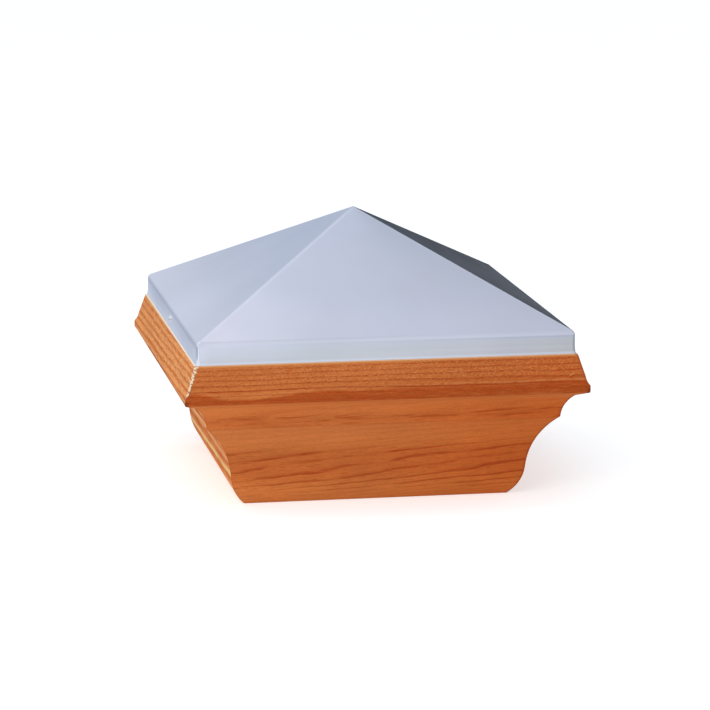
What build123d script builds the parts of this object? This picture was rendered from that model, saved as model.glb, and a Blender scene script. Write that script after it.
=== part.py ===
from build123d import *
import math
import os

# Fence post cap for a nominal 4 x 4 post. Four moulded cedar rails, mitred into a square frame, slip over
# the post. A plywood deck screwed on top of the frame stops the post, and a pyramid roof pressed from
# sheet metal closes the cap. Its skirt stands on the rails and is pinned into the edges of the deck.
# Millimetres, +Z up, -Y is the front. The origin is the centre of the frame's flat underside.

# ---------------------------------------------------------------- driving dimensions

# The post goes up between the rails.
socket_width = 92.0          # square opening between the rails

# Height of each band of the rail's moulding, from the top down.
fascia_height = 9.3          # plain face that leans out below the roof
flare_height = 3.3           # hollow that throws the lip out
lip_height = 3.0             # upright nose of the lip
soffit_fall = 2.0            # the lip's underside slopes down towards the cove
cove_height = 9.8            # hollow under the lip
hollow_height = 23.1         # upper, hollow half of the ogee
swell_height = 13.0          # lower, round half of the ogee

# Reach of each band below the lip, outwards from the socket wall.
foot_width = 9.4             # flat underside
swell_reach = 6.4
hollow_reach = 11.7
cove_reach = 4.85
soffit_reach = 5.15

# Reach of the bands above the lip, inwards from its nose.
flare_reach = 1.6
fascia_reach = 2.9

# How far each hollow bows away from a straight line, and the radius of each rounded corner.
flare_bow = 0.3
cove_bow = 1.1
hollow_bow = 2.5
nose_radius = 0.9
arris_radius = 0.9

# Roof of pressed sheet
sheet = 0.7
roof_margin = 0.5            # rail top left bare outside the roof
roof_pitch = 28.0            # degrees
skirt_flare_height = 3.5     # the foot of the skirt curves out over this height
skirt_flare_reach = 0.4
bend_inside = 0.3            # inside radius of the hips, the corners and the peak
eave_easing = 1.3            # the bend at the eave has a radius this much larger

# Deck
deck_thickness = 8.0
deck_headroom = 0.8          # between the deck's top and the eave
deck_clearance = 0.4         # to the inside of the skirt
tongue_depth = 3.0           # square tongue under the deck, which centres it in the socket
tongue_clearance = 0.3       # to each socket wall

# Countersunk screws, two down into each rail
screw_length = 30.0
screw_shank = 4.0
screw_head = 8.0
drive_width = 2.8            # square recess in the head
drive_depth = 2.0
screw_spacing = 80.0         # between the two screws of one rail

# Dome-head pins, one through the middle of the left and of the right skirt
pin_length = 12.0
pin_shank = 1.6
pin_head = 3.4
pin_dome = 1.1               # how far the head stands proud

# V-nails, two across each mitre, driven flush into the top of the rails before the deck goes on
nail_depth = 12.0
nail_leg = 6.0
nail_sheet = 0.8
nail_half_angle = 55.0       # degrees between a leg and the mitre
nail_inset = 10.0            # from the socket wall and from the roof's edge, measured along a rail

# ---------------------------------------------------------------- derived dimensions

wall = socket_width / 2                                # from the middle of the cap to a socket wall
lip = wall + foot_width + swell_reach + hollow_reach + cove_reach + soffit_reach
roof_edge = lip - flare_reach - fascia_reach - roof_margin
step_level = swell_height + hollow_height              # edge between ogee and cove
soffit_level = step_level + cove_height
lip_level = soffit_level + soffit_fall
flare_level = lip_level + lip_height
fascia_level = flare_level + flare_height
rail_height = fascia_level + fascia_height
deck_top = rail_height + deck_thickness
skirt_height = deck_thickness + deck_headroom
bend_outside = bend_inside + sheet


# ---------------------------------------------------------------- rails

def rail_section():
    """Section of a rail: x runs out from the middle of the cap and y up from the underside."""
    waist = (wall + foot_width + swell_reach, swell_height)
    step = (waist[0] + hollow_reach, step_level)
    soffit = (step[0] + cove_reach, soffit_level)
    fascia_foot = (lip - flare_reach, fascia_level)
    arris = (fascia_foot[0] - fascia_reach, rail_height)

    hollow = SagittaArc(step, waist, -hollow_bow)
    swell = TangentArc(waist, (wall + foot_width, 0), tangent=hollow % 1)
    back = Polyline(swell @ 1, (wall, 0), (wall, rail_height), arris, fascia_foot)
    flare = SagittaArc(fascia_foot, (lip, flare_level), -flare_bow)
    nose = Polyline(flare @ 1, (lip, lip_level), soffit)
    cove = SagittaArc(soffit, step, -cove_bow)
    bands = [hollow, swell, back, flare, nose, cove]
    section = make_face([edge for band in bands for edge in band.edges()])

    columns = section.vertices().group_by(Axis.X)
    rounded = fillet(columns[-1], nose_radius)
    return fillet(rounded.vertices().sort_by_distance(arris)[0], arris_radius)


def make_rail():
    """The right-hand rail: a length of moulding cut to 45 degrees at both ends."""
    moulding = extrude(Plane.XZ * rail_section(), 2 * lip, both=True)
    mitres = make_face(Polyline((0, 0), (2 * lip, -2 * lip), (2 * lip, 2 * lip), close=True))
    return moulding & extrude(mitres, rail_height)


# ---------------------------------------------------------------- roof

def roof_section():
    """Upright section through the middle of the roof's outside, bends sharp, run on below the skirt."""
    side = roof_edge - skirt_flare_reach
    peak = (0, skirt_height + side * math.tan(math.radians(roof_pitch)))
    slope = Polyline(peak, (side, skirt_height), (side, skirt_flare_height))
    flare = TangentArc(slope @ 1, (roof_edge, 0), tangent=slope % 1)
    run_on = Line(flare @ 1, flare @ 1 + (flare % 1) * 4 * bend_outside)
    right = [*slope.edges(), *flare.edges(), *run_on.edges()]
    left = [edge.mirror(Plane.YZ) for edge in right]
    base = Line(run_on @ 1, (-(run_on @ 1).X, (run_on @ 1).Y))
    return make_face([*right, *left, *base.edges()])


def roof_core():
    """What the bends roll round: two bars of the roof's section, moved in and crossed, give a pyramid."""
    section = offset(roof_section(), amount=-bend_outside, kind=Kind.INTERSECTION)
    eaves = section.vertices().group_by(Axis.Y)[-2]
    bar = extrude(Plane.XZ * fillet(eaves, eave_easing), lip, both=True)
    return bar & Rot(0, 0, 90) * bar


def make_roof():
    """Sheet bent round the core, with the foot of its skirt cut level on top of the rails."""
    core = roof_core()
    outside = offset(core, amount=bend_outside, kind=Kind.ARC)
    inside = offset(core, amount=bend_inside, kind=Kind.ARC)
    return Pos(0, 0, rail_height) * split(outside - inside, bisect_by=Plane.XY, keep=Keep.TOP)


# ---------------------------------------------------------------- deck

def make_deck():
    """Square board on top of the rails, with a tongue that reaches down between them."""
    board_width = 2 * (roof_edge - skirt_flare_reach - sheet - deck_clearance)
    tongue_width = socket_width - 2 * tongue_clearance
    on_base = (Align.CENTER, Align.CENTER, Align.MIN)
    board = Pos(0, 0, rail_height) * Box(board_width, board_width, deck_thickness, align=on_base)
    tongue = Pos(0, 0, rail_height - tongue_depth) * Box(tongue_width, tongue_width, tongue_depth, align=on_base)
    return board + tongue


# ---------------------------------------------------------------- fasteners

def screw_blank():
    """Countersunk screw before its drive is cut, pointing down, the top of its head at the origin."""
    head, shank = screw_head / 2, screw_shank / 2
    countersink = head - shank             # as deep as it is wide, so 90 degrees
    half = Polyline((0, 0), (head, 0), (shank, -countersink), (shank, shank - screw_length),
                    (0, -screw_length), close=True)
    return revolve(Plane.XZ * make_face(half), Axis.Z)


def screw_places():
    """Midway across the top of each rail, at the top of the deck."""
    across = (wall + roof_edge) / 2
    return [
        Rot(0, 0, turn) * Pos(across, side * screw_spacing / 2, deck_top)
        for turn in (0, 90, 180, 270)
        for side in (-1, 1)
    ]


def pin():
    """Dome-head pin with a blunt end, pointing down, the underside of its head at the origin."""
    head, shank = pin_head / 2, pin_shank / 2
    dome = RadiusArc((0, pin_dome), (head, 0), (head**2 + pin_dome**2) / (2 * pin_dome))
    body = Polyline((head, 0), (shank, 0), (shank, -pin_length), (0, -pin_length), (0, pin_dome))
    return revolve(Plane.XZ * make_face([*dome.edges(), *body.edges()]), Axis.Z)


def place_pins():
    """Level with the middle of the deck, through the upright part of the right and the left skirt."""
    right = Pos(roof_edge - skirt_flare_reach, 0, rail_height + deck_thickness / 2) * Rot(0, 90, 0) * pin()
    return [right, Rot(0, 0, 180) * right]


def v_nail():
    """V-nail, pointing down with its top edge at the origin, one leg each side of the X axis."""
    angle = math.radians(nail_half_angle)
    back, side = nail_leg * math.cos(angle), nail_leg * math.sin(angle)
    return extrude(trace(Polyline((-back, side), (0, 0), (-back, -side)), nail_sheet), -nail_depth)


def place_nails():
    """On the line of each mitre, one towards the socket and one towards the roof's edge."""
    return [
        Rot(0, 0, 45 + turn) * Pos(reach * math.sqrt(2), 0, rail_height) * v_nail()
        for turn in (0, 90, 180, 270)
        for reach in (wall + nail_inset, roof_edge - nail_inset)
    ]


# ---------------------------------------------------------------- the cap, put together

blanks = [place * screw_blank() for place in screw_places()]
drive = Box(drive_width, drive_width, 2 * drive_depth)
screws = [place * (screw_blank() - drive) for place in screw_places()]
pins = place_pins()
nails = place_nails()
rail = make_rail()

parts = {
    "deck_board": make_deck() - blanks - pins,
    "deck_screws": Compound(screws),
    "mitre_nails": Compound(nails),
    "roof_cap": make_roof() - pins,
    "roof_pins": Compound(pins),
}
for side, turn in (("right", 0), ("back", 90), ("left", 180), ("front", 270)):
    parts[f"rail_{side}"] = Rot(0, 0, turn) * rail - blanks - nails

os.makedirs("parts", exist_ok=True)
for name, shape in parts.items():
    export_step(shape, f"parts/{name}.step")
    print(name, len(shape.solids()), "solids", round(shape.volume), "mm3")
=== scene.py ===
# %% [markdown]
# # A fence post cap: from bare CAD to cedar and metal
#
# The real object is a cap that slips over the top of a fence post. Four moulded cedar rails are
# mitred into a square frame, and a low pyramid of satin sheet metal sits on them and sheds the
# rain. Its shapes and sizes were settled in CAD, and this lesson gives them their surfaces:
# stained cedar with its growth rings, cool smooth metal, plywood and zinc.
#
# Everything is in metres, with +Z up and the front of the cap towards -Y. The CAD model comes in
# as a fixed frame, so nothing here moves or resizes a part of it: places are read from it.

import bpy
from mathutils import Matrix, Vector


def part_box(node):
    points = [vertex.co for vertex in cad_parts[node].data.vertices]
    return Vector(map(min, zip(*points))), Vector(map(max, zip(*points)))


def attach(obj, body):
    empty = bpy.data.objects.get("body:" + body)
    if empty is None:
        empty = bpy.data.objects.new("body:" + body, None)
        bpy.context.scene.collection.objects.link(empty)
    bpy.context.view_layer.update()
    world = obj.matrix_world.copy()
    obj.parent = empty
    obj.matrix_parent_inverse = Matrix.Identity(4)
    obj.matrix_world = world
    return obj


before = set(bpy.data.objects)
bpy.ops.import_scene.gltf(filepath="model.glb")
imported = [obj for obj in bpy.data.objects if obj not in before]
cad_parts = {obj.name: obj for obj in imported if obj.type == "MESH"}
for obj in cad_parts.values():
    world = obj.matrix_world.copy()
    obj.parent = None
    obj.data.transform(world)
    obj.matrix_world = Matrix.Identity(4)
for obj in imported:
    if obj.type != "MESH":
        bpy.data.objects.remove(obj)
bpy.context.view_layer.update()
print("CAD nodes:", ", ".join(sorted(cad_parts)))

# %% Tools from Blender and Python
import math
import random
from types import SimpleNamespace

import bmesh
import bpy
from mathutils import Quaternion, Vector

MM = 0.001
print("1 mm is", MM, "of a Blender unit")

# %% Measure the frame
_, rail_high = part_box("rail_front")
RAIL_TOP = rail_high.z / MM  # mm; the roof's skirt stands at this height
SOCKET = -rail_high.y / MM   # mm from the middle of the cap to a wall of the socket
print(f"rail top {RAIL_TOP:.1f} mm, socket wall {SOCKET:.1f} mm")

# %% [markdown]
# ## The camera
#
# A small thing seen from close by shows strong perspective, and from far away with a long lens it
# shows little. Here the far edges of the roof are hardly shorter than the near ones, so the
# camera stands well back with a long lens, a little to the left and just above the roof. It is
# turned round a point inside the cap, which is easier to picture than three bare coordinates.

# %% Make the camera
VIEW_TURN = math.radians(-10.71)  # the camera stands this far round to the left of the front
VIEW_RISE = math.radians(11.77)   # and this far above level
VIEW_ROLL = math.radians(0.31)
VIEW_DISTANCE = 1.425
AIM = Vector((0.0005, -0.0039, 0.0500))
LENS = 169.24

outwards = Vector((
    math.sin(VIEW_TURN) * math.cos(VIEW_RISE),
    -math.cos(VIEW_TURN) * math.cos(VIEW_RISE),
    math.sin(VIEW_RISE),
))
camera = bpy.data.objects.new("camera", bpy.data.cameras.new("camera"))
camera.data.lens = LENS
camera.location = AIM + outwards * VIEW_DISTANCE
camera.rotation_mode = "QUATERNION"
level_view = (-outwards).to_track_quat("-Z", "Y")
camera.rotation_quaternion = Quaternion(outwards, VIEW_ROLL) @ level_view
bpy.context.collection.objects.link(camera)
bpy.context.scene.camera = camera
bpy.context.scene.view_settings.view_transform = "Standard"
print("camera at", tuple(round(c, 3) for c in camera.location), "m")

# %% [markdown]
# ## Writing materials as code
#
# Every finish here is a small network of shader nodes. Making and wiring them by hand takes four
# lines a node, so a helper does it in one: it makes the node, sets what is a plain value and
# links what is another node's output. The others grow from it: they do sums, mix colours, or make
# masks, numbers that are 1 where a finish changes and 0 elsewhere. With those, a material reads
# like a list of what happened to the surface.

# %% Helpers for shader nodes
def add(tree, kind, inputs=None, **settings):
    """Makes a node, sets its settings, and fills its inputs with values or links."""
    made = tree.nodes.new(kind)
    for name, value in settings.items():
        setattr(made, name, value)
    for socket, value in (inputs or {}).items():
        if isinstance(value, bpy.types.NodeSocket):
            tree.links.new(value, made.inputs[socket])
        else:
            made.inputs[socket].default_value = value
    return made


def calc(tree, operation, first, second=0.0, third=0.0):
    """One sum, such as ADD or MULTIPLY_ADD, on numbers or links."""
    made = add(tree, "ShaderNodeMath", {0: first, 1: second, 2: third}, operation=operation)
    return made.outputs[0]


def times(tree, first, *others):
    """Several numbers multiplied."""
    for other in others:
        first = calc(tree, "MULTIPLY", first, other)
    return first


def rest_of(tree, value):
    """What a number lacks to 1, which turns a mask inside out."""
    return calc(tree, "SUBTRACT", 1.0, value)


def split(tree, vector):
    """The X, Y and Z of a place or a direction."""
    return tuple(add(tree, "ShaderNodeSeparateXYZ", {0: vector}).outputs)


print("helpers for nodes and sums")

# %% Helpers for masks and mixtures
def step_up(tree, value, low, high):
    """0 below low, 1 above high, and a soft step between."""
    inputs = {0: value, 1: low, 2: high}
    return add(tree, "ShaderNodeMapRange", inputs, interpolation_type="SMOOTHSTEP").outputs[0]


def step_down(tree, value, low, high):
    """1 below low, 0 above high, and a soft step between."""
    return rest_of(tree, step_up(tree, value, low, high))


def between(tree, value, low, high):
    """Takes a number from 0 to 1 and stretches it to run from low to high."""
    return calc(tree, "MULTIPLY_ADD", value, high - low, low)


def blend(tree, factor, first, second, mode="MIX"):
    """Two colours laid over each other."""
    inputs = {0: factor, 6: first, 7: second}
    return add(tree, "ShaderNodeMix", inputs, data_type="RGBA", blend_type=mode).outputs[2]


print("helpers for masks")

# %% [markdown]
# ## A white room
#
# The cap stands on a pale floor in a white room. A camera ray that misses everything sees pure
# white. For all other rays the room is a soft sky: brighter towards the left, a little darker and
# bluer towards the back. That slow fall gives each face of the roof a tone of its own, because
# smooth metal shows the room. Reflections also see a brighter front wall. No flat face of the
# roof mirrors it, but the bends do, and it draws them.

# %% World
SKY_COLOUR = (0.95, 0.975, 1.0, 1.0)
SKY_BEHIND = (0.86, 0.92, 1.0, 1.0)  # the back wall is bluer
SKY_MIDDLE = 0.92                    # how bright the room is in a reflection,
SKY_TO_RIGHT = -0.16                 # how much that gains from its middle to the right wall,
SKY_TO_BACK = -0.05                  # to the back wall
SKY_TO_TOP = -0.02                   # and to the ceiling
SKY_IN_FRONT = 0.17                  # what the front wall gains in reflections
FRONT_WALL = (-0.5, 0.0)             # share of the way back: the front wall ends here,
BACK_WALL = (0.5, 0.95)              # and the back wall begins here
SKY_AS_LIGHT = 0.68                  # share of that brightness that lights matt surfaces
WHITE = (1.0, 1.0, 1.0, 1.0)

world = bpy.data.worlds.new("white_room")
world.use_nodes = True
bpy.context.scene.world = world
tree = world.node_tree
tree.nodes.clear()
to_right, to_back, to_top = split(tree, add(tree, "ShaderNodeTexCoord").outputs["Generated"])
light_path = add(tree, "ShaderNodeLightPath")
in_mirror = light_path.outputs["Is Glossy Ray"]
room = calc(tree, "MULTIPLY_ADD", to_right, SKY_TO_RIGHT, SKY_MIDDLE)
room = calc(tree, "MULTIPLY_ADD", to_back, SKY_TO_BACK, room)
room = calc(tree, "MULTIPLY_ADD", to_top, SKY_TO_TOP, room)
front_wall = times(tree, step_down(tree, to_back, *FRONT_WALL), in_mirror)
room = calc(tree, "MULTIPLY_ADD", front_wall, SKY_IN_FRONT, room)
room = times(tree, room, between(tree, in_mirror, SKY_AS_LIGHT, 1.0))
walls = blend(tree, step_up(tree, to_back, *BACK_WALL), SKY_COLOUR, SKY_BEHIND)
sky = add(tree, "ShaderNodeBackground", {0: walls, 1: room}).outputs[0]
white = add(tree, "ShaderNodeBackground", {0: WHITE, 1: 1.0}).outputs[0]
seen = add(tree, "ShaderNodeMixShader", {0: light_path.outputs["Is Camera Ray"], 1: sky, 2: white})
add(tree, "ShaderNodeOutputWorld", {0: seen.outputs[0]})
print("the room's middle brightness is", SKY_MIDDLE)

# %% Materials and flat objects
def new_material(name):
    """An empty material with a Principled shader, and the tree that both stand in."""
    material = bpy.data.materials.new(name)
    material.use_nodes = True
    return material, material.node_tree, material.node_tree.nodes["Principled BSDF"]


def flat_object(name, corners, faces=((0, 1, 2, 3),)):
    """An object of flat faces that is no part of the cap."""
    mesh = bpy.data.meshes.new(name)
    mesh.from_pydata(corners, [], faces)
    made = bpy.data.objects.new(name, mesh)
    bpy.context.collection.objects.link(made)
    return made


def floor_corners(left, right, near, far, height):
    """The four corners of a rectangle that lies flat."""
    return [(left, near, height), (right, near, height), (right, far, height), (left, far, height)]


print("helpers: new_material, flat_object")

# %% Floor
FLOOR_REACH = 3.0
FLOOR_PAPER = (0.85, 0.905, 0.94, 1.0)
FLOOR_LIFT = 0.50         # glow for the camera alone: the floor meets the white room
FLOOR_MIRRORED = 0.03     # the same for the metal: at the middle of the floor,
MIRRORED_TO_LEFT = 1.7    # how much it gains in each metre to the left
MIRRORED_TO_FRONT = 0.67  # and to the front,
MIRRORED_MOST = 0.5       # and where it ends

whole_floor = floor_corners(-FLOOR_REACH, FLOOR_REACH, -FLOOR_REACH, FLOOR_REACH, 0)
floor = flat_object("floor", whole_floor)
material, tree, shader = new_material("floor_paper")
shader.inputs["Base Color"].default_value = FLOOR_PAPER
shader.inputs["Roughness"].default_value = 1.0
shader.inputs["Specular IOR Level"].default_value = 0.0
shader.inputs["Emission Color"].default_value = WHITE
light_path = add(tree, "ShaderNodeLightPath")
from_right, from_front, _ = split(tree, add(tree, "ShaderNodeTexCoord").outputs["Object"])
mirrored = calc(tree, "MULTIPLY_ADD", from_right, -MIRRORED_TO_LEFT, FLOOR_MIRRORED)
mirrored = calc(tree, "MULTIPLY_ADD", from_front, -MIRRORED_TO_FRONT, mirrored)
mirrored = calc(tree, "MINIMUM", calc(tree, "MAXIMUM", mirrored, 0.0), MIRRORED_MOST)
glow = times(tree, light_path.outputs["Is Camera Ray"], FLOOR_LIFT)
glow = calc(tree, "MULTIPLY_ADD", light_path.outputs["Is Glossy Ray"], mirrored, glow)
tree.links.new(glow, shader.inputs["Emission Strength"])
floor.data.materials.append(material)
print("floor", 2 * FLOOR_REACH, "m square")

# %% [markdown]
# ## Soft lamps and three cards
#
# The key lamp stands close by, to the left and in front, and points at the floor before the cap.
# Close, because then its light falls off across the cap: the left ends of the mouldings are
# brighter than the right ones. The fill lamp lies low in front and reaches the hollows under the
# lip. Both are kept out of reflections, or the bends of the metal would carry a hard white streak.
# The roof lamp, weak and high, is there for the opposite reason: it hardly lights anything, but
# the roof mirrors it as a soft sheen.
#
# Satin metal shows whatever faces it. In a room that is white all round, its edges melt into the
# background, so cards stand where only one face can see them. The black card behind the cap turns
# the right-hand slope dark, which is seen almost edge on. The blue card lies on the floor behind,
# where the left skirt mirrors it, and the corner card on the floor at the left, where only the
# bend between the left and front skirts does. Only reflections see them: they cast no shadow.

# %% Lamps
WARM_LIGHT = (1.0, 0.985, 0.96)
COOL_LIGHT = (0.98, 0.98, 1.0)
FLOOR_IN_FRONT = Vector((-0.05, -0.25, 0.0))


def lamp(name, place, target, size, watts, colour, mirrored):
    """A square soft lamp that points at its target."""
    light = bpy.data.lights.new(name, "AREA")
    light.size = size
    light.energy = watts
    light.color = colour
    made = bpy.data.objects.new(name, light)
    made.location = place
    made.rotation_mode = "QUATERNION"
    made.rotation_quaternion = (target - made.location).to_track_quat("-Z", "Y")
    made.visible_glossy = mirrored
    bpy.context.collection.objects.link(made)
    print(name, watts, "W")


lamp("key_lamp", Vector((-0.36, -0.50, 0.36)), FLOOR_IN_FRONT, size=0.4, watts=1.0,
     colour=WARM_LIGHT, mirrored=False)
lamp("fill_lamp", Vector((-0.50, -0.95, 0.07)), AIM, size=0.5, watts=1.15,
     colour=WARM_LIGHT, mirrored=False)
lamp("roof_lamp", Vector((-0.26, 0.14, 0.75)), AIM, size=0.7, watts=0.64,
     colour=COOL_LIGHT, mirrored=True)

# %% Cards
OFF_FLOOR = 0.002  # a card on the floor lies this far above it
CARD_ROUGHNESS = 0.9


def card(name, corners, colour, **faces):
    """A card that only reflections see."""
    made = flat_object(name, corners, **faces)
    made.visible_camera = False
    made.visible_diffuse = False
    made.visible_shadow = False
    material, tree, shader = new_material(name)
    shader.inputs["Base Color"].default_value = colour
    shader.inputs["Roughness"].default_value = CARD_ROUGHNESS
    made.data.materials.append(material)
    print(name, len(corners), "corners")


BLACK_LEFT, BLACK_RIGHT = 0.04, 1.00
BLACK_NEAR, BLACK_FAR = 0.13, 0.50  # it lies on the floor between these, then stands up
BLACK_TOP = 0.42
outline = ((BLACK_NEAR, OFF_FLOOR), (BLACK_FAR, OFF_FLOOR), (BLACK_FAR, BLACK_TOP))
bent = [(x, y, z) for y, z in outline for x in (BLACK_LEFT, BLACK_RIGHT)]
card("black_card", bent, (0.022, 0.028, 0.027, 1.0), faces=((0, 1, 3, 2), (2, 3, 5, 4)))
card("blue_card", floor_corners(-0.34, -0.02, 0.20, 0.52, OFF_FLOOR), (0.60, 0.68, 0.85, 1.0))
card("corner_card", floor_corners(-0.80, -0.22, -0.35, 0.12, OFF_FLOOR), (0.16, 0.20, 0.30, 1.0))

# %% [markdown]
# ## Cedar
#
# A board is a slice through a stack of cones, so its grain is one solid pattern inside the wood,
# not a picture wrapped round it. So each rail here has a pith, the middle line of the tree it was
# cut from, and the distance from it says how old the wood is. Counted in rings, the whole number
# names the year and the fraction says spring or autumn: pale and soft first, then darker, and
# then the sudden start of the next year.
#
# The pith of the front rail lies outside the moulding, at about half its height. So the rings cut
# the upright fascia in close lines, barely touch the hollows, and cross the round foot in a few
# long slanting streaks. None of that is drawn: it comes from the shape.

# %% Where each rail was cut from the tree
# turn: degrees that bring the rail to the front
# pith: how far outwards and up the middle of the tree lies, mm
# slope, yaw: how the tree leans against the rail, degrees
# shift: how far along the tree the rail was cut, mm
# ring, late: width of a year in mm, and the share of it at which autumn begins
# spring, autumn, torn: tones of the wood and of its torn fibres
# faintest: strength of the faintest autumn line
# quiet, top: strength of the lines in the hollow and at the top of the fascia
# pale_years: how much the pale years show
# speck: length and height of the speckles on the fascia, mm
# stain_top: where the dark band of the lip ends, mm
# worn, worn_mitre: how bare the top arris and the mitre are; on the arris, also its painted highlight
# dent: where a small dent lies, along the rail and up, mm
RAILS = {
    "rail_front": dict(
        turn=0, pith=(112, 30), slope=2.4, yaw=-2.2, shift=40.0, ring=1.9, late=0.72,
        spring=(206, 118, 59), autumn=(160, 50, 4), torn=(226, 156, 98),
        faintest=0.6, quiet=0.2, top=0.75, pale_years=0.0, speck=(1.05, 0.42),
        stain_top=52.1, worn=0.5, worn_mitre=0.0, dent=(76.0, 55.4)),
    "rail_left": dict(
        turn=90, pith=(118, -30), slope=1.2, yaw=0.0, shift=310.0, ring=2.8, late=0.55,
        spring=(238, 160, 92), autumn=(199, 96, 30), torn=(255, 200, 138),
        faintest=0.7, quiet=1.0, top=0.9, pale_years=0.8, speck=(5.0, 0.7),
        stain_top=48.6, worn=1.0, worn_mitre=0.3, dent=(-18.0, 31.0)),
    "rail_right": dict(
        turn=-90, pith=(112, 20), slope=1.4, yaw=1.0, shift=620.0, ring=1.9, late=0.7,
        spring=(205, 119, 60), autumn=(150, 64, 22), torn=(226, 156, 98),
        faintest=0.5, quiet=0.4, top=0.6, pale_years=0.2, speck=(1.6, 0.45),
        stain_top=51.4, worn=0.5, worn_mitre=0.0, dent=(22.0, 50.5)),
    "rail_back": dict(
        turn=180, pith=(116, 0), slope=-1.4, yaw=0.6, shift=930.0, ring=2.0, late=0.7,
        spring=(201, 115, 56), autumn=(148, 62, 20), torn=(222, 152, 95),
        faintest=0.5, quiet=0.3, top=0.6, pale_years=0.15, speck=(1.5, 0.45),
        stain_top=51.8, worn=0.5, worn_mitre=0.0, dent=(-41.0, 58.0)),
}
print(len(RAILS), "rails, each from its own board")

# %% Places and noise in mm
def places(tree, turn=0.0):
    """Places on the cap in mm, if need be with one of its sides turned to the front."""
    return add(tree, "ShaderNodeMapping", {
        "Vector": add(tree, "ShaderNodeTexCoord").outputs["Object"],
        "Rotation": (0.0, 0.0, math.radians(turn)),
        "Scale": (1 / MM, 1 / MM, 1 / MM),
    }).outputs[0]


def noise(tree, place, along, across, detail=2.0):
    """Noise from 0 to 1 that changes every 'along' mm in X and every 'across' mm in Y and Z."""
    scale = (1 / along, 1 / across, 1 / across)
    squeezed = add(tree, "ShaderNodeMapping", {"Vector": place, "Scale": scale}).outputs[0]
    inputs = {"Vector": squeezed, "Scale": 1.0, "Detail": detail}
    return add(tree, "ShaderNodeTexNoise", inputs).outputs[0]


print("a metre is", 1 / MM, "mm")

# %% Places in a rail
def measure_places(wood):
    """Where a point lies on the rail, turned to the front with -Y outwards, and in the tree."""
    tree = wood.tree
    wood.straight = places(tree, wood.turn)
    wood.along, inwards, wood.level = split(tree, wood.straight)
    wood.out = times(tree, inwards, -1.0)
    pith = (wood.shift, wood.pith[0], -wood.pith[1])
    from_pith = add(tree, "ShaderNodeVectorMath", {0: wood.straight, 1: pith}, operation="ADD")
    slope = math.radians(wood.slope)
    yaw = math.radians(wood.yaw)
    wood.in_tree = add(tree, "ShaderNodeMapping", {
        "Vector": from_pith.outputs[0],
        "Location": (0.0, wood.shift * math.sin(yaw), wood.shift * math.sin(slope)),
        "Rotation": (0.0, slope, -yaw),
    }).outputs[0]


print("places on a rail and in its tree")

# %% Growth rings
ROUND_TOP = 26.0           # mm; below it the foot is round and cut at a slant
WANDER = 0.8               # mm by which a whole ring strays,
RIPPLE = 0.5               # and by which its line trembles,
STILL, LIVELY = 0.35, 1.1  # times this on the straight faces, and on the round foot


def growth_rings(wood):
    """How far into its year each point lies, and a random number that names the year."""
    tree = wood.tree
    wood.rounded = step_down(tree, wood.level, ROUND_TOP - 6.0, ROUND_TOP + 2.0)
    _, across, up = split(tree, wood.in_tree)
    squares = calc(tree, "ADD", calc(tree, "POWER", across, 2.0), calc(tree, "POWER", up, 2.0))
    wander = between(tree, noise(tree, wood.in_tree, 45.0, 10.0), -WANDER, WANDER)
    ripple = between(tree, noise(tree, wood.in_tree, 17.0, 3.0), -RIPPLE, RIPPLE)
    ripple = times(tree, ripple, between(tree, wood.rounded, STILL, LIVELY))
    from_pith = calc(tree, "ADD", calc(tree, "SQRT", squares), wander)
    age = calc(tree, "DIVIDE", calc(tree, "ADD", from_pith, ripple), wood.ring)
    year = calc(tree, "FLOOR", age)
    wood.season = calc(tree, "SUBTRACT", age, year)
    named = add(tree, "ShaderNodeTexWhiteNoise", {"W": year}, noise_dimensions="1D")
    wood.chance = named.outputs[0]


print("rings wander by", WANDER, "mm")

# %% [markdown]
# ## From wood to a stained and worn moulding
#
# The rings alone would look like a fresh board. On the real mouldings a saw left the fascia
# rough and speckled with torn fibres, while a cutter shaped the lip and the hollows smooth. The
# stain went on by hand. It soaked deep into the nose of the lip and the foot of the fascia, and
# ran into the cove as dark dashes. The foot, the hollow and the underside of the lip are painted
# lighter, as fill light that the lamps don't give them. Towards the right of the cap the wood
# grows redder and darker: a ruddier stain, and painted shade. Hands and weather rubbed the sharp
# arrises pale, scuffed the lip and left a small dent. The top arris is painted paler still as its
# highlight, and so is a faint ridge at the foot of the fascia. The socket never saw any stain.
#
# Each of these is a mask made from a height or a distance, with ragged edges from noise, and a
# step of its own that takes the colour so far and gives it back with one mark more.

# %% Colours
def srgb(red, green, blue):
    """A colour given as 0 to 255, in the linear values that shaders use."""
    def linear(value):
        value /= 255
        return value / 12.92 if value <= 0.04045 else ((value + 0.055) / 1.055) ** 2.4
    return (linear(red), linear(green), linear(blue), 1.0)


def tint(tree, colour, by, factor=1.0):
    """A colour multiplied by another one, wholly or by a share."""
    return blend(tree, factor, colour, by, "MULTIPLY")


def ramp(tree, value, stops):
    """A number turned into a colour or a grey by stops of (place, colour)."""
    made = add(tree, "ShaderNodeValToRGB", {0: value})
    points = made.color_ramp.elements
    while len(points) < len(stops):
        points.new(0.5)
    for point, (place, colour) in zip(points, stops):
        point.position = place
        point.color = colour if isinstance(colour, tuple) else (colour, colour, colour, 1.0)
    return made.outputs["Color"]


def mottle(tree, colour, pattern, dark, pale, low=0.3, high=0.7):
    """A colour that a pattern makes a little darker in some places and paler in others."""
    return tint(tree, colour, ramp(tree, pattern, [(low, dark), (high, pale)]))


print("a middle grey of 128 is", round(srgb(128, 128, 128)[0], 3), "in linear light")

# %% Heights and tones on the moulding
SOFFIT_FOOT, LIP_FOOT = 45.6, 47.6    # mm; the underside of the lip, and its upright nose
HOLLOW_FOOT, HOLLOW_TOP = 25.0, 47.0  # the hollow that the rings barely touch
LIP_STAIN = srgb(171, 70, 20)         # where the wood soaked up the most stain
RAW_WOOD = srgb(255, 238, 212)        # worn arrises, and their painted highlight
print("the lip begins at", LIP_FOOT, "mm")

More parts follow.
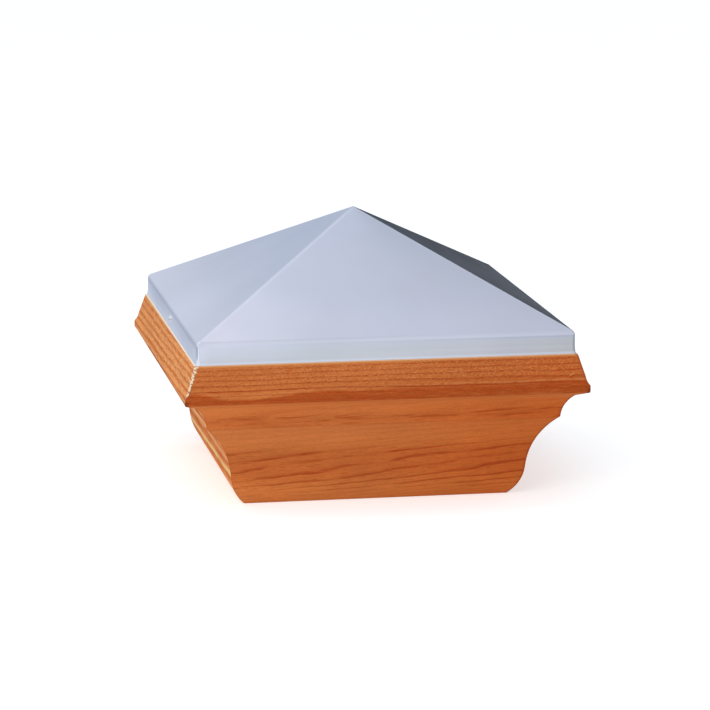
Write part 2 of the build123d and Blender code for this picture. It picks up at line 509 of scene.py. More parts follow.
# %% Masks that several marks share
RIGHTWARD_FROM, RIGHTWARD_TO = -25.0, 90.0  # mm right of the middle; between them it grows redder and darker: stain, and painted shade
STAIN_DIP = 2.3                     # mm by which the border of the lip's dark band dips,
DIP_FALLS = (-80.0, -65.0)          # between these places along the rail,
DIP_RISES = (-58.0, -26.0)          # and rises again between these
STAIN_WAVER = 0.7                   # mm by which that border wavers


def band(tree, value, low, high, soft):
    """1 between low and high, and 0 outside, with soft edges."""
    rise = step_up(tree, value, low - soft, low)
    fall = step_up(tree, value, high, high + soft)
    return calc(tree, "SUBTRACT", rise, fall)


def measure_masks(wood):
    """Smooth and sawn places, the border between them, how far right a point lies, and two textures."""
    tree, level, along = wood.tree, wood.level, wood.along
    hollow = band(tree, level, HOLLOW_FOOT, HOLLOW_TOP, 3.0)
    wood.calm = calc(tree, "MAXIMUM", hollow, step_down(tree, level, 2.0, 8.0))
    to_right, _, _ = split(tree, add(tree, "ShaderNodeTexCoord").outputs["Object"])
    wood.ruddy = step_up(tree, to_right, RIGHTWARD_FROM * MM, RIGHTWARD_TO * MM)
    wood.fibre = noise(tree, wood.in_tree, 7.0, 0.35, 3.0)
    wood.speckle = noise(tree, wood.straight, wood.speck[0], wood.speck[1])
    dip = calc(tree, "SUBTRACT", step_up(tree, along, *DIP_FALLS), step_up(tree, along, *DIP_RISES))
    border = calc(tree, "MULTIPLY_ADD", dip, -STAIN_DIP, wood.stain_top)
    waver = between(tree, noise(tree, wood.straight, 22.0, 8.0), -STAIN_WAVER, STAIN_WAVER)
    wood.over_border = calc(tree, "SUBTRACT", level, calc(tree, "ADD", border, waver))
    wood.sawn = step_up(tree, wood.over_border, -0.4, 0.8)


print("the dark band dips by", STAIN_DIP, "mm")

# %% Autumn lines
FASCIA_QUIET = (54.5, 59.0)  # mm; between these heights the lines grow fainter


def autumn_lines(wood):
    """Dark and thin, of different strength each year, fading in and out along the board."""
    tree, late = wood.tree, wood.late
    line = ramp(tree, wood.season, [
        (0.0, 0.5), (0.06, 0.0), (late - 0.22, 0.02), (late, 0.22), (late + 0.14, 1.0), (1.0, 0.9)])
    strength = between(tree, wood.chance, wood.faintest, 1.0)
    fade = step_up(tree, noise(tree, wood.in_tree, 20.0, 2.5), 0.35, 0.62)
    faint = between(tree, wood.rounded, 0.5 + wood.faintest * 0.5, wood.faintest * 0.3)
    fade = calc(tree, "MULTIPLY_ADD", fade, rest_of(tree, faint), faint)
    in_hollow = between(tree, wood.calm, 1.0, wood.quiet)
    at_top = between(tree, step_up(tree, wood.level, *FASCIA_QUIET), 1.0, wood.top)
    on_round = between(tree, wood.rounded, 1.0, 0.85)
    return times(tree, line, strength, fade, in_hollow, at_top, on_round)


print("the lines grow fainter above", FASCIA_QUIET[0], "mm")

# %% Fibres and pores
PORE_LENGTH, PORE_WIDTH = 5.0, 0.4  # mm


def fibres_and_pores(wood, colour):
    """The slow changes of a board's tone, its hairs and fibres, and short dark pores."""
    tree = wood.tree
    colour = mottle(tree, colour, noise(tree, wood.in_tree, 55.0, 16.0), 0.93, 1.06)
    colour = mottle(tree, colour, noise(tree, wood.in_tree, 1.8, 0.22, 1.0), 0.91, 1.085)
    fibrous = mottle(tree, colour, wood.fibre, 0.90, 1.09)
    colour = blend(tree, between(tree, wood.calm, 1.0, 0.8), colour, fibrous)
    pores = step_up(tree, noise(tree, wood.in_tree, PORE_LENGTH, PORE_WIDTH, 1.0), 0.62, 0.74)
    pores = times(tree, pores, between(tree, wood.calm, 0.45, 0.2))
    return blend(tree, pores, colour, srgb(*wood.autumn))


print("pores are about", PORE_LENGTH, "mm long")

# %% Stain, and painted fill light by height
COVE_FOOT, COVE_MIDDLE = 36.8, 40.0  # mm; dark dashes lie between these
REDDER_AND_SHADED = (0.95, 0.73, 0.49, 1.0)      # taken away towards the right of the cap: a redder stain, and painted shade
PAINTED_FILL_BY_HEIGHT = [                       # share of the height, and painted fill light: lighter at the foot, hollow and under the lip
    (0.0, (1.33, 1.49, 1.58, 1.0)), (0.1, (1.24, 1.35, 1.41, 1.0)),
    (0.2, (1.04, 0.94, 0.89, 1.0)), (0.34, (1.03, 0.93, 0.88, 1.0)),
    (0.44, (1.22, 1.28, 1.38, 1.0)), (0.55, (1.26, 1.31, 1.43, 1.0)),
    (0.572, (1.09, 1.00, 0.96, 1.0)), (0.598, (1.04, 0.94, 0.89, 1.0)),
    (0.62, (1.05, 0.96, 0.92, 1.0)), (0.65, (1.19, 1.14, 1.12, 1.0)),
    (0.69, (1.28, 1.26, 1.27, 1.0)), (0.745, (1.36, 1.38, 1.38, 1.0)),
    (0.77, (1.03, 1.03, 1.03, 1.0)), (0.86, (0.99, 0.94, 0.91, 1.0)),
]


def stain(wood, colour):
    """Dark cove dashes, painted fill light by height, redder stain and painted shade to the right."""
    tree = wood.tree
    dashes = step_up(tree, noise(tree, wood.in_tree, 16.0, 1.0), 0.52, 0.66)
    in_cove = band(tree, wood.level, COVE_FOOT, COVE_MIDDLE, 1.5)
    colour = blend(tree, times(tree, dashes, in_cove, 0.65), colour, LIP_STAIN)
    # painted fill light: lighter at the foot, in the hollow and under the lip, where the lamps give too
    # little
    colour = tint(tree, colour, ramp(tree, calc(tree, "DIVIDE", wood.level, RAIL_TOP), PAINTED_FILL_BY_HEIGHT))
    # a redder stain, and painted shade: darker towards the right of the cap
    redder_and_shaded = times(tree, wood.ruddy, between(tree, step_up(tree, wood.level, 38.0, 48.0), 1.0, 0.8))
    return blend(tree, redder_and_shaded, colour, tint(tree, colour, REDDER_AND_SHADED))


print(len(PAINTED_FILL_BY_HEIGHT), "stops of stain")

# %% Pale years
PALE_TOP = (36.0, 44.0)                 # mm; between these heights the pale years end
PALE_STREAK = srgb(255, 222, 153)
BETWEEN_PALE = (0.95, 0.82, 0.67, 1.0)  # what the wood between them keeps


def pale_years(wood, colour):
    """Some years of a board are pale, as near the bark, and what lies between them is darker."""
    tree = wood.tree
    below = step_down(tree, wood.level, *PALE_TOP)
    darker = tint(tree, colour, BETWEEN_PALE)
    colour = blend(tree, times(tree, below, wood.pale_years), colour, darker)
    chosen = step_up(tree, calc(tree, "FRACT", times(tree, wood.chance, 7.3)), 0.05, 0.15)
    spring = ramp(tree, wood.season, [(0.0, 0.0), (0.1, 1.0), (0.35, 1.0), (0.5, 0.0)])
    lasting = step_up(tree, noise(tree, wood.in_tree, 60.0, 5.0), 0.3, 0.5)
    pale = times(tree, chosen, spring, lasting, below, wood.pale_years)
    return blend(tree, pale, colour, PALE_STREAK)


print("pale years end by", PALE_TOP[1], "mm")

# %% Sawn fascia
TEARS_GROW = (1.5, 6.0)  # mm above the lip's dark band; more fibres are torn up here
SOAK_ENDS = (0.8, 5.0)   # the same, where the soaked stain ends


def sawn_fascia(wood, colour):
    """Torn fibres and pits where the saw left the fascia rough, and stain soaked into its foot."""
    tree, late = wood.tree, wood.late
    torn = step_up(tree, wood.speckle, 0.46, 0.72)
    more_to_right = between(tree, step_up(tree, wood.along, -78.0, -10.0), 0.5, 0.85)
    more_higher = between(tree, step_up(tree, wood.over_border, *TEARS_GROW), 0.25, 0.52)
    torn = times(tree, torn, wood.sawn, more_to_right, more_higher)
    colour = blend(tree, torn, colour, srgb(*wood.torn))
    pits = times(tree, step_down(tree, wood.speckle, 0.3, 0.48), wood.sawn, 0.3)
    colour = blend(tree, pits, colour, srgb(*wood.autumn))
    foot = step_down(tree, wood.over_border, *SOAK_ENDS)
    year = ramp(tree, wood.season, [(0.0, 0.9), (0.15, 0.35), (late - 0.3, 0.35), (late, 1.0)])
    soaked = times(tree, foot, wood.sawn, between(tree, wood.ruddy, 0.1, 0.65), year)
    return blend(tree, soaked, colour, LIP_STAIN)


print("stain soaked", SOAK_ENDS[1], "mm up the fascia")

# %% Lip
SCUFF = srgb(206, 120, 62)           # where the stain on the lip is rubbed thin
SOFFIT_PAINTED_FILL = srgb(226, 128, 64)    # painted fill light under the lip
LIP_COVER, SOFFIT_FILL_SHARE = 0.85, 0.7  # how far the lip's stain and the painted fill under it hide the wood


def lip(wood, colour):
    """The smooth lip holds the most stain, with scuffs on it; under it a paler tone is painted as fill
    light.
    """
    tree = wood.tree
    stained = mottle(tree, LIP_STAIN, wood.fibre, 0.84, 1.18)
    stained = mottle(tree, stained, wood.speckle, 0.83, 1.19, 0.35, 0.65)
    scuffs = step_up(tree, noise(tree, wood.straight, 7.0, 0.8), 0.48, 0.74)
    scuffs = times(tree, scuffs, between(tree, wood.ruddy, 0.2, 0.45))
    stained = blend(tree, scuffs, stained, SCUFF)
    over_foot = step_up(tree, wood.level, LIP_FOOT - 0.2, LIP_FOOT + 0.5)
    colour = blend(tree, times(tree, over_foot, rest_of(tree, wood.sawn), LIP_COVER), colour, stained)
    # painted fill light: the underside of the lip is made paler
    soffit = times(tree, band(tree, wood.level, SOFFIT_FOOT, LIP_FOOT, 0.6), SOFFIT_FILL_SHARE)
    return blend(tree, soffit, colour, SOFFIT_PAINTED_FILL)


print("stain hides", LIP_COVER, "of the wood on the lip")

# %% Worn arrises, and their painted highlights
RUB_SHEEN_FROM, RUB_SHEEN_FULL = 1.1, 0.6  # mm below the top: where the arris begins to be rubbed and painted lighter,
BARE_SHEEN_FROM, BARE_SHEEN_FULL = 0.45, 0.15    # and where it is worn bare and painted as a highlight


def arrises_worn_and_lit(wood, colour):
    """Pale wear and a painted highlight on the top arris; a painted highlight on the fascia's foot
    ridge.
    """
    tree, torn = wood.tree, srgb(*wood.torn)
    breaks = noise(tree, wood.straight, 3.0, 0.8)
    # wear, and a painted highlight along the top arris
    rubbed_and_lit = step_up(tree, wood.level, RAIL_TOP - RUB_SHEEN_FROM, RAIL_TOP - RUB_SHEEN_FULL)
    rubbed_and_lit = times(tree, rubbed_and_lit, step_up(tree, breaks, 0.2, 0.4), 1.1 - wood.worn)
    colour = blend(tree, rubbed_and_lit, colour, torn)
    bare = step_up(tree, wood.level, RAIL_TOP - BARE_SHEEN_FROM, RAIL_TOP - BARE_SHEEN_FULL)
    colour = blend(tree, times(tree, bare, wood.worn), colour, RAW_WOOD)
    # painted highlight: a pale broken line along the ridge at the foot of the fascia
    ridge = times(tree, band(tree, wood.over_border, 1.2, 1.6, 0.4),
                  step_up(tree, breaks, 0.35, 0.55), between(tree, wood.ruddy, 0.15, 0.33))
    return blend(tree, ridge, colour, torn)


print("the top", RUB_SHEEN_FROM, "mm of the arris is rubbed")

# %% Dent
DENT_TILT = 0.45                  # mm that it rises in each mm along the rail
DENT_CORE, DENT_REACH = 0.5, 1.3  # mm to each side: as deep as it gets, and its end


def dent(wood, colour):
    """A small dent from a knock: the fibres in it are pale, and its lower edge is bruised dark."""
    tree = wood.tree
    place, height = wood.dent
    tilted = calc(tree, "ADD", wood.level, DENT_TILT * place - height)
    tilted = calc(tree, "MULTIPLY_ADD", wood.along, -DENT_TILT, tilted)
    beside = calc(tree, "ABSOLUTE", calc(tree, "SUBTRACT", wood.along, place))
    near = step_down(tree, beside, DENT_CORE, DENT_REACH)
    bruise = times(tree, near, band(tree, tilted, -1.0, -0.5, 0.4), 0.5)
    colour = blend(tree, bruise, colour, srgb(*wood.autumn))
    broken = times(tree, near, band(tree, tilted, -0.15, 0.15, 0.3), 0.6)
    return blend(tree, broken, colour, srgb(*wood.torn))


print("each dent is", 2 * DENT_REACH, "mm long")

# %% Mitre and socket
CORNER_STAIN = srgb(98, 46, 20)       # the corner of the lip, darkest of all
SOCKET_WOOD = srgb(214, 160, 108)     # never stained
SOCKET_GRAIN = srgb(184, 124, 76)
CORNER_CORE, CORNER_REACH = 0.4, 2.2  # mm from the mitre


def mitre(wood, colour):
    """Stain and shadow sit in the joint, or its edge is pale from wear."""
    tree = wood.tree
    from_mitre = calc(tree, "SUBTRACT", wood.out, calc(tree, "ABSOLUTE", wood.along))
    joint = step_down(tree, from_mitre, 0.1, between(tree, wood.ruddy, 0.5, 1.4))
    stained = times(tree, joint, between(tree, wood.ruddy, 0.35, 0.7))
    colour = blend(tree, stained, colour, LIP_STAIN)
    colour = blend(tree, times(tree, joint, wood.worn_mitre), colour, RAW_WOOD)
    corner = step_down(tree, from_mitre, CORNER_CORE, CORNER_REACH)
    corner = times(tree, corner, band(tree, wood.level, LIP_FOOT, LIP_FOOT + 2.0, 0.8), 0.6)
    return blend(tree, corner, colour, CORNER_STAIN)


def socket(wood, colour):
    """Bare wood, with the same autumn lines."""
    tree = wood.tree
    inside = step_down(tree, wood.out, SOCKET + 0.1, SOCKET + 0.5)
    return blend(tree, inside, colour, blend(tree, wood.line, SOCKET_WOOD, SOCKET_GRAIN))


print("the corner of the lip is dark for", CORNER_REACH, "mm")

# %% Relief, and dressing a node
def relief(tree, shader, height, strength, depth):
    """A relief too fine for the mesh, which only catches the light; its depth is in mm."""
    inputs = {"Height": height, "Strength": strength, "Distance": depth * MM}
    bump = add(tree, "ShaderNodeBump", inputs)
    tree.links.new(bump.outputs[0], shader.inputs["Normal"])


def dress(node, material):
    """Gives a CAD node its finish."""
    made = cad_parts[node]
    made.data.materials.clear()
    made.data.materials.append(material)
    print(node, "is", material.name)


print("helpers: relief, dress")

# %% Cedar material
MARKS = (fibres_and_pores, stain, pale_years, sawn_fascia, lip, arrises_worn_and_lit, dent, mitre, socket)


def cedar(name, cut):
    """Stained cedar for one rail."""
    material, tree, shader = new_material(name)
    wood = SimpleNamespace(tree=tree, **cut)
    measure_places(wood)
    growth_rings(wood)
    measure_masks(wood)
    wood.line = autumn_lines(wood)
    colour = blend(tree, wood.line, srgb(*wood.spring), srgb(*wood.autumn))
    for mark in MARKS:
        colour = mark(wood, colour)
    tree.links.new(colour, shader.inputs["Base Color"])
    tree.links.new(between(tree, wood.speckle, 0.6, 0.9), shader.inputs["Roughness"])
    shader.inputs["Specular IOR Level"].default_value = 0.15
    height = times(tree, wood.speckle, wood.sawn)
    height = calc(tree, "MULTIPLY_ADD", wood.line, -0.15, height)
    height = calc(tree, "MULTIPLY_ADD", wood.fibre, 0.3, height)
    relief(tree, shader, height, 0.5, 0.09)
    return material


for name, cut in RAILS.items():
    dress(name, cedar("cedar_" + name, cut))

# %% [markdown]
# ## Satin sheet metal
#
# The roof is thin sheet, bent over a form, with a smooth satin finish. Such a sheet is never dead
# flat: rolling leaves it with waves a few centimetres long and hardly deep at all, which nobody
# feels but every reflection shows. So the finish has three slow patterns, one for the tint, one
# for the gloss and one for the waves, and a fine tooth over them.
#
# Its tones aren't even either, and they are painted reflection. The left end is painted brighter,
# the sheet grows darker towards the peak and is darker at the corners and the eave, and the skirts
# have painted tones up and across. Painted highlights lie just above the eave and along the hips,
# and a painted bluish reflection at the foot.

# %% Where a place on the roof lies
EAVE = RAIL_TOP + 8.4  # mm; here a slope begins,
PEAK = EAVE + 38.1     # and here its dullness is full
ROOF_WIDE = 160.0      # mm; places across the roof are shares of this


def roof_places(tree, place):
    """A place on the roof, in mm, and how far it lies across it, past a hip and up the slope."""
    side, depth, level = split(tree, place)
    sheet = SimpleNamespace(tree=tree, side=side, level=level)
    sheet.depth = calc(tree, "ABSOLUTE", depth)
    sheet.past_hip = calc(tree, "SUBTRACT", calc(tree, "ABSOLUTE", side), sheet.depth)
    sheet.across = calc(tree, "MULTIPLY_ADD", side, 1 / ROOF_WIDE, 0.5)
    sheet.rise = step_up(tree, level, EAVE, PEAK)
    sheet.upright = step_down(tree, level, EAVE - 2.5, EAVE - 0.5)
    return sheet


print("the slopes begin at", round(EAVE, 1), "mm")

# %% Slopes
BRIGHTER_LEFT_END = (1.07, 1.05, 1.035, 1.0)       # all these tones multiply the colour of the sheet; this is painted brightness at the left end
BRIGHTER_LEFT_REACH = (-72.0, -38.0)             # mm from the middle; in between that brightness fades
DARKER_SIDES = (0.82, 0.87, 0.915, 1.0)  # painted darker reflection near the peak on the left and right slopes,
DARKER_LEFT = (0.92, 0.945, 0.97, 1.0)   # at the left of the other two
DARKER_RIGHT = (0.82, 0.86, 0.87, 1.0)   # and at their right


def slopes(sheet, colour):
    """Painted reflection: brighter at the left end, and darker towards the peak."""
    tree = sheet.tree
    left = step_down(tree, sheet.side, *BRIGHTER_LEFT_REACH)
    colour = tint(tree, colour, BRIGHTER_LEFT_END, left)
    from_hip_to_hip = calc(tree, "DIVIDE", sheet.side, sheet.depth)
    toward_peak = blend(tree, step_up(tree, from_hip_to_hip, -0.3, 0.9), DARKER_LEFT, DARKER_RIGHT)
    toward_peak = blend(tree, step_up(tree, sheet.past_hip, -1.0, 1.0), toward_peak, DARKER_SIDES)
    return tint(tree, colour, toward_peak, sheet.rise)


print("the left end is clean up to", BRIGHTER_LEFT_REACH[0], "mm")

# %% Skirts
SKIRT_FOOT = RAIL_TOP - 0.5            # mm; its tones begin a little lower
SKIRT_HEIGHT = 10.0
LEFT_SIDE = -77.0                      # mm from the middle; past this lies only the left skirt
FRONT_SKIRT = [                        # share of its height; painted reflection tones
    (0.05, (0.90, 0.90, 0.84, 1.0)), (0.20, (0.91, 0.91, 0.84, 1.0)),
    (0.33, (0.96, 0.96, 0.885, 1.0)), (0.60, (0.995, 0.995, 0.93, 1.0)),
    (0.75, (0.99, 0.99, 0.94, 1.0)),
]
LEFT_SKIRT = [
    (0.05, (1.36, 1.36, 1.28, 1.0)), (0.45, (1.36, 1.35, 1.23, 1.0)),
    (0.72, (1.23, 1.23, 1.14, 1.0)), (0.87, (0.98, 0.99, 0.98, 1.0)),
]
SKIRT_ACROSS = [                       # share of the roof's width
    (0.02, (1.00, 1.01, 1.055, 1.0)), (0.05, (0.95, 0.95, 0.98, 1.0)), (0.25, 1.0),
    (0.40, (1.05, 1.04, 1.01, 1.0)), (0.80, (1.055, 1.012, 0.985, 1.0)),
    (0.95, (1.065, 1.02, 0.96, 1.0)),
]
LOW_RIGHT = (0.86, 0.86, 0.87, 1.0)    # painted reflection: darker low down at the right of the front skirt


def skirts(sheet, colour):
    """Painted reflection tones up and across the front skirt, and up the left one."""
    tree = sheet.tree
    up = calc(tree, "MULTIPLY_ADD", sheet.level, 1 / SKIRT_HEIGHT, -SKIRT_FOOT / SKIRT_HEIGHT)
    front = tint(tree, ramp(tree, up, FRONT_SKIRT), ramp(tree, sheet.across, SKIRT_ACROSS))
    low = step_down(tree, up, 0.12, 0.42)
    front = tint(tree, front, LOW_RIGHT, times(tree, low, step_up(tree, sheet.across, 0.45, 0.85)))
    on_left = calc(tree, "LESS_THAN", sheet.side, LEFT_SIDE)
    both = blend(tree, on_left, front, ramp(tree, up, LEFT_SKIRT))
    return tint(tree, colour, both, sheet.upright)


print("the skirt is", SKIRT_HEIGHT, "mm high")

# %% Bends
CORNER_BEND = (0.79, 0.80, 0.82, 1.0)  # painted darker reflection at the corners of the skirt,
CORNER_SIDE = (0.94, 0.95, 0.96, 1.0)  # and a few mm beside them
EAVE_ACROSS = [                        # share of the roof's width; painted reflection on the eave
    (0.02, 0.96), (0.06, 1.0), (0.30, (0.99, 0.98, 0.95, 1.0)), (0.50, (0.985, 0.97, 0.94, 1.0)),
    (0.72, (0.93, 0.92, 0.90, 1.0)), (0.90, (0.90, 0.89, 0.88, 1.0)),
]
BRIGHT_EDGE = (1.08, 1.08, 1.07, 1.0)  # painted highlight just above the eave on the left and right slopes:
BRIGHT_FOOT, BRIGHT_MOST = EAVE - 0.3, EAVE + 0.7    # it begins and is full here, mm,
BRIGHT_TOP = EAVE + 14.1               # and fades out up to here
HIP_SHEEN = (0.80, 0.83, 0.90, 1.0)       # painted highlight on the hips
HIP_LOW, HIP_HIGH = 0.15, 0.32         # how strong it is at the eave and at the peak
RIGHT_HIP = 0.2                        # share of that on the right
# painted bluish reflection at the foot of the skirts
FOOT_BLUE = (0.68, 0.78, 0.95, 1.0)


def bends(sheet, colour):
    """Painted reflection: darker at the corners and the eave, with a painted highlight just above it.
    """
    tree, level = sheet.tree, sheet.level
    corner = times(tree, sheet.upright, band(tree, sheet.past_hip, -1.0, 0.3, 0.4))
    colour = tint(tree, colour, CORNER_BEND, corner)
    beside = times(tree, sheet.upright, band(tree, sheet.past_hip, 0.5, 3.0, 1.5))
    colour = tint(tree, colour, CORNER_SIDE, beside)
    eave = band(tree, level, EAVE - 1.0, EAVE + 0.3, 0.6)
    colour = tint(tree, colour, ramp(tree, sheet.across, EAVE_ACROSS), eave)
    begins = step_up(tree, level, BRIGHT_FOOT, BRIGHT_MOST)
    ends = step_up(tree, level, BRIGHT_MOST, BRIGHT_TOP)
    bright = calc(tree, "SUBTRACT", begins, ends)
    return tint(tree, colour, BRIGHT_EDGE, times(tree, bright, step_up(tree, sheet.past_hip, 0.0, 1.0)))


def hips_and_foot(sheet, colour):
    """Painted highlights along the hips, least at the right, and a painted bluish reflection at the
    foot.
    """
    tree = sheet.tree
    near_hip = step_down(tree, calc(tree, "ABSOLUTE", sheet.past_hip), 0.2, 2.4)
    on_slope = step_up(tree, sheet.level, EAVE - 1.0, EAVE + 1.0)
    by_height = between(tree, sheet.rise, HIP_LOW, HIP_HIGH)
    by_side = between(tree, step_up(tree, sheet.side, -10.0, 10.0), 1.0, RIGHT_HIP)
    colour = blend(tree, times(tree, near_hip, on_slope, by_height, by_side), colour, HIP_SHEEN)
    foot = step_down(tree, sheet.level, RAIL_TOP + 0.4, RAIL_TOP + 1.1)
    return blend(tree, times(tree, foot, 0.35), colour, FOOT_BLUE)


print("the bright edge ends at", round(BRIGHT_TOP, 1), "mm")

# %% Satin metal
ROOF_LAVENDER = (0.592, 0.612, 0.725, 1.0)
ROOF_BLUE = (0.588, 0.610, 0.732, 1.0)
PIN_PALE = (0.66, 0.67, 0.72, 1.0)
PIN_GREY = (0.60, 0.61, 0.66, 1.0)
TO_SECOND = 0.004  # how much a mm to the right favours the second tint
WAVE_DEPTH = 0.25  # mm of relief; the fine tooth has this share of it:
TOOTH = 0.02


def satin_metal(name, first, second, smoothest, roughest, marks=()):
    """Satin metal with slow changes of tint and gloss, faint waves in the sheet, and its marks."""
    material, tree, shader = new_material(name)
    place = places(tree)
    sheet = roof_places(tree, place)
    drift = calc(tree, "MULTIPLY_ADD", sheet.side, TO_SECOND, noise(tree, place, 48.0, 48.0))
    colour = blend(tree, step_up(tree, drift, 0.35, 0.65), first, second)
    colour = mottle(tree, colour, noise(tree, place, 80.0, 60.0, 3.0), 0.95, 1.04)
    for mark in marks:
        colour = mark(sheet, colour)
    tree.links.new(colour, shader.inputs["Base Color"])
    shader.inputs["Metallic"].default_value = 1.0
    gloss = between(tree, noise(tree, place, 22.0, 22.0, 3.0), smoothest, roughest)
    tree.links.new(gloss, shader.inputs["Roughness"])
    waves = noise(tree, place, 30.0, 30.0, 1.0)
    tooth = noise(tree, place, 0.5, 0.5, 1.0)
    relief(tree, shader, calc(tree, "MULTIPLY_ADD", tooth, TOOTH, waves), 1.0, WAVE_DEPTH)
    return material


dress("roof_cap", satin_metal("roof_satin", ROOF_LAVENDER, ROOF_BLUE, 0.26, 0.38,
                              marks=(slopes, skirts, bends, hips_and_foot)))
dress("roof_pins", satin_metal("pin_satin", PIN_PALE, PIN_GREY, 0.22, 0.35))

# %% [markdown]
# ## Plywood, screws and nails
#
# Under the roof lies a square of exterior plywood. From below its tongue shows at the end of the
# socket. Plywood has two looks: a broad, wavy figure on its faces, where a knife peeled the log,
# and thin stripes on its edges, one for each ply. The direction that a surface faces tells which
# of the two it gets. Zinc plate crystallises in small patches that each catch the light a little
# differently, and a Voronoi texture has just such cells.

# %% Plywood
PLY = 1.6           # mm, five of them in the board
FIGURE_ROWS = 14.0  # how often the figure repeats
VENEER_PALE = srgb(222, 184, 132)
VENEER_DARK = srgb(186, 138, 88)
CROSS_PLY = srgb(166, 120, 78)

material, tree, shader = new_material("deck_plywood")
place = places(tree)
figure = noise(tree, place, 90.0, 16.0, 1.0)
rows = calc(tree, "FRACT", times(tree, figure, FIGURE_ROWS))
rows = ramp(tree, rows, [(0.0, 0.1), (0.75, 0.45), (0.95, 1.0), (1.0, 0.2)])
streaks = noise(tree, place, 18.0, 0.5, 3.0)
peeled = mottle(tree, blend(tree, rows, VENEER_PALE, VENEER_DARK), streaks, 0.86, 1.08)
_, _, level = split(tree, place)
plies = calc(tree, "DIVIDE", calc(tree, "SUBTRACT", level, RAIL_TOP), PLY)
crossed = calc(tree, "MODULO", calc(tree, "ADD", calc(tree, "FLOOR", plies), 10.0), 2.0)
layers = blend(tree, crossed, VENEER_PALE, CROSS_PLY)
layers = mottle(tree, layers, noise(tree, place, 1.2, 1.2, 3.0), 0.8, 1.1)
_, _, facing_up = split(tree, add(tree, "ShaderNodeNewGeometry").outputs["Normal"])
on_face = step_up(tree, calc(tree, "ABSOLUTE", facing_up), 0.5, 0.8)
tree.links.new(blend(tree, on_face, layers, peeled), shader.inputs["Base Color"])
tree.links.new(between(tree, streaks, 0.6, 0.85), shader.inputs["Roughness"])
relief(tree, shader, streaks, 0.5, 0.15)
dress("deck_board", material)

# %% Zinc plate
CRYSTAL, HAZE = 1.1 * MM, 4.0 * MM


def zinc_plate(name, colour):
    """Zinc in crystals of about a millimetre, with a slight haze."""
    material, tree, shader = new_material(name)
    place = add(tree, "ShaderNodeTexCoord").outputs["Object"]
    crystals = add(tree, "ShaderNodeTexVoronoi", {"Vector": place, "Scale": 1 / CRYSTAL})
    shade, _, _ = split(tree, crystals.outputs["Color"])
    inputs = {"Vector": place, "Scale": 1 / HAZE, "Detail": 3.0}
    haze = add(tree, "ShaderNodeTexNoise", inputs).outputs[0]
    colour = mottle(tree, colour, shade, 0.88, 1.06, 0.0, 1.0)
    colour = mottle(tree, colour, haze, 0.85, 1.0, 0.35, 0.6)
    tree.links.new(colour, shader.inputs["Base Color"])
    shader.inputs["Metallic"].default_value = 1.0
    tree.links.new(between(tree, haze, 0.25, 0.55), shader.inputs["Roughness"])
    return material


dress("deck_screws", zinc_plate("zinc_deck_screws", (0.66, 0.66, 0.62, 1.0)))
dress("mitre_nails", zinc_plate("zinc_mitre_nails", (0.60, 0.62, 0.65, 1.0)))

# %% [markdown]
# ## Filler in the mitre
#
# Only the front left mitre has opened, and there the maker pressed cream filler into the joint.
# It stands a tenth or two of a millimetre proud as an uneven bead: wide at the top, where the gap
# was widest, thin at the lip, and mostly on the front rail. A bead is a small ring of points,
# repeated along the corner, so it is built that way, with its width and height wandering a little
# from one ring to the next.

# %% Corner of the mouldings
CORNER = [  # height, and distance from the middle, both in mm
    (RAIL_TOP - 0.3, 79.1), (RAIL_TOP - 9.3, 81.9),
    (RAIL_TOP - 11.2, 82.75), (RAIL_TOP - 12.3, 83.2),
]


def corner_at(height):
    """Distance from the middle of the cap to the corner's faces at this height, in mm."""
    for (high, near), (low, far) in zip(CORNER, CORNER[1:]):
        if height >= low:
            return near + (far - near) * (high - height) / (high - low)
    return CORNER[-1][1]


print("the corner leans out from", CORNER[0][1], "to", CORNER[-1][1], "mm")

# %% Rings of the bead
SUNK = 0.25          # mm by which the edges of the bead lie in the wood
ON_LEFT_RAIL = 0.35  # share of its width that lies on the left rail


def bead_ring(height, width, proud):
    """Six points round the bead: over the corner outside, and sunk into the wood inside."""
    c = corner_at(height)
    thin = width * ON_LEFT_RAIL
    return [
        (-c + width, -c + SUNK, height), (-c + width * 0.8, -c - proud, height),
        (-c - proud * 0.8, -c - proud * 0.8, height), (-c - proud * 0.7, -c + thin * 0.6, height),
        (-c + SUNK, -c + thin, height), (-c + width, -c + width, height),
    ]


print("each ring of the bead lies", SUNK, "mm in the wood")

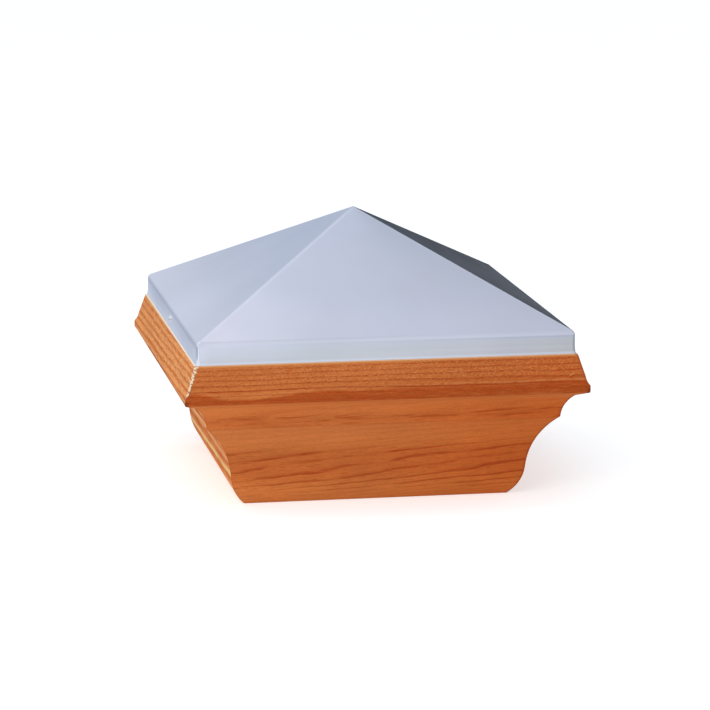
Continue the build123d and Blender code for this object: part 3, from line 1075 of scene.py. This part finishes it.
# %% Bead of filler
BEAD_RINGS = 46
WIDE_TOP, NARROWER = 2.1, 1.1  # mm of width at the top, and what the bead loses lower down
WIDTH_CHANCE = (0.65, 1.2)     # each ring is this many times as wide as the rule says,
PROUD = (0.1, 0.22)            # and stands this proud, mm
chooser = random.Random(11)

filler_mesh = bmesh.new()
rings = []
for index in range(BEAD_RINGS):
    share = index / (BEAD_RINGS - 1)  # 0 at the top, 1 at the lip
    height = CORNER[0][0] + (CORNER[-1][0] - CORNER[0][0]) * share
    taper = min(1.0, (1.0 - share) * 8, (share + 0.03) * 33)
    wide = WIDE_TOP - NARROWER * min(1.0, share * 1.6)
    width = wide * chooser.uniform(*WIDTH_CHANCE) * (0.4 + 0.6 * taper)
    proud = chooser.uniform(*PROUD) * taper
    points = bead_ring(height, width, proud)
    rings.append([filler_mesh.verts.new([value * MM for value in point]) for point in points])
for upper, lower in zip(rings, rings[1:]):
    for first in range(len(upper)):
        second = (first + 1) % len(upper)
        filler_mesh.faces.new((upper[first], upper[second], lower[second], lower[first]))
filler_mesh.faces.new(rings[0])
filler_mesh.faces.new(rings[-1])
bmesh.ops.recalc_face_normals(filler_mesh, faces=filler_mesh.faces)
bead = bpy.data.meshes.new("mitre_filler")
filler_mesh.to_mesh(bead)
filler_mesh.free()
bead.shade_smooth()
filler = bpy.data.objects.new("mitre_filler", bead)
bpy.context.collection.objects.link(filler)
smooth = filler.modifiers.new("smooth", "SUBSURF")
smooth.levels = 1
smooth.render_levels = 1
print("bead of", BEAD_RINGS, "rings")

# %% Filler material
CREAM = srgb(250, 228, 194)
DIRT = srgb(168, 92, 42)
DIRTY_FROM = 0.52  # grains from this value up are dirty

material, tree, shader = new_material("filler_cream")
grains = noise(tree, places(tree), 0.6, 0.6)
dirty = step_up(tree, grains, DIRTY_FROM, DIRTY_FROM + 0.12)
tree.links.new(blend(tree, dirty, CREAM, DIRT), shader.inputs["Base Color"])
tree.links.new(between(tree, grains, 0.7, 0.95), shader.inputs["Roughness"])
shader.inputs["Specular IOR Level"].default_value = 0.25
relief(tree, shader, grains, 0.8, 0.1)
filler.data.materials.append(material)
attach(filler, "root")
print("filler rides on the frame")
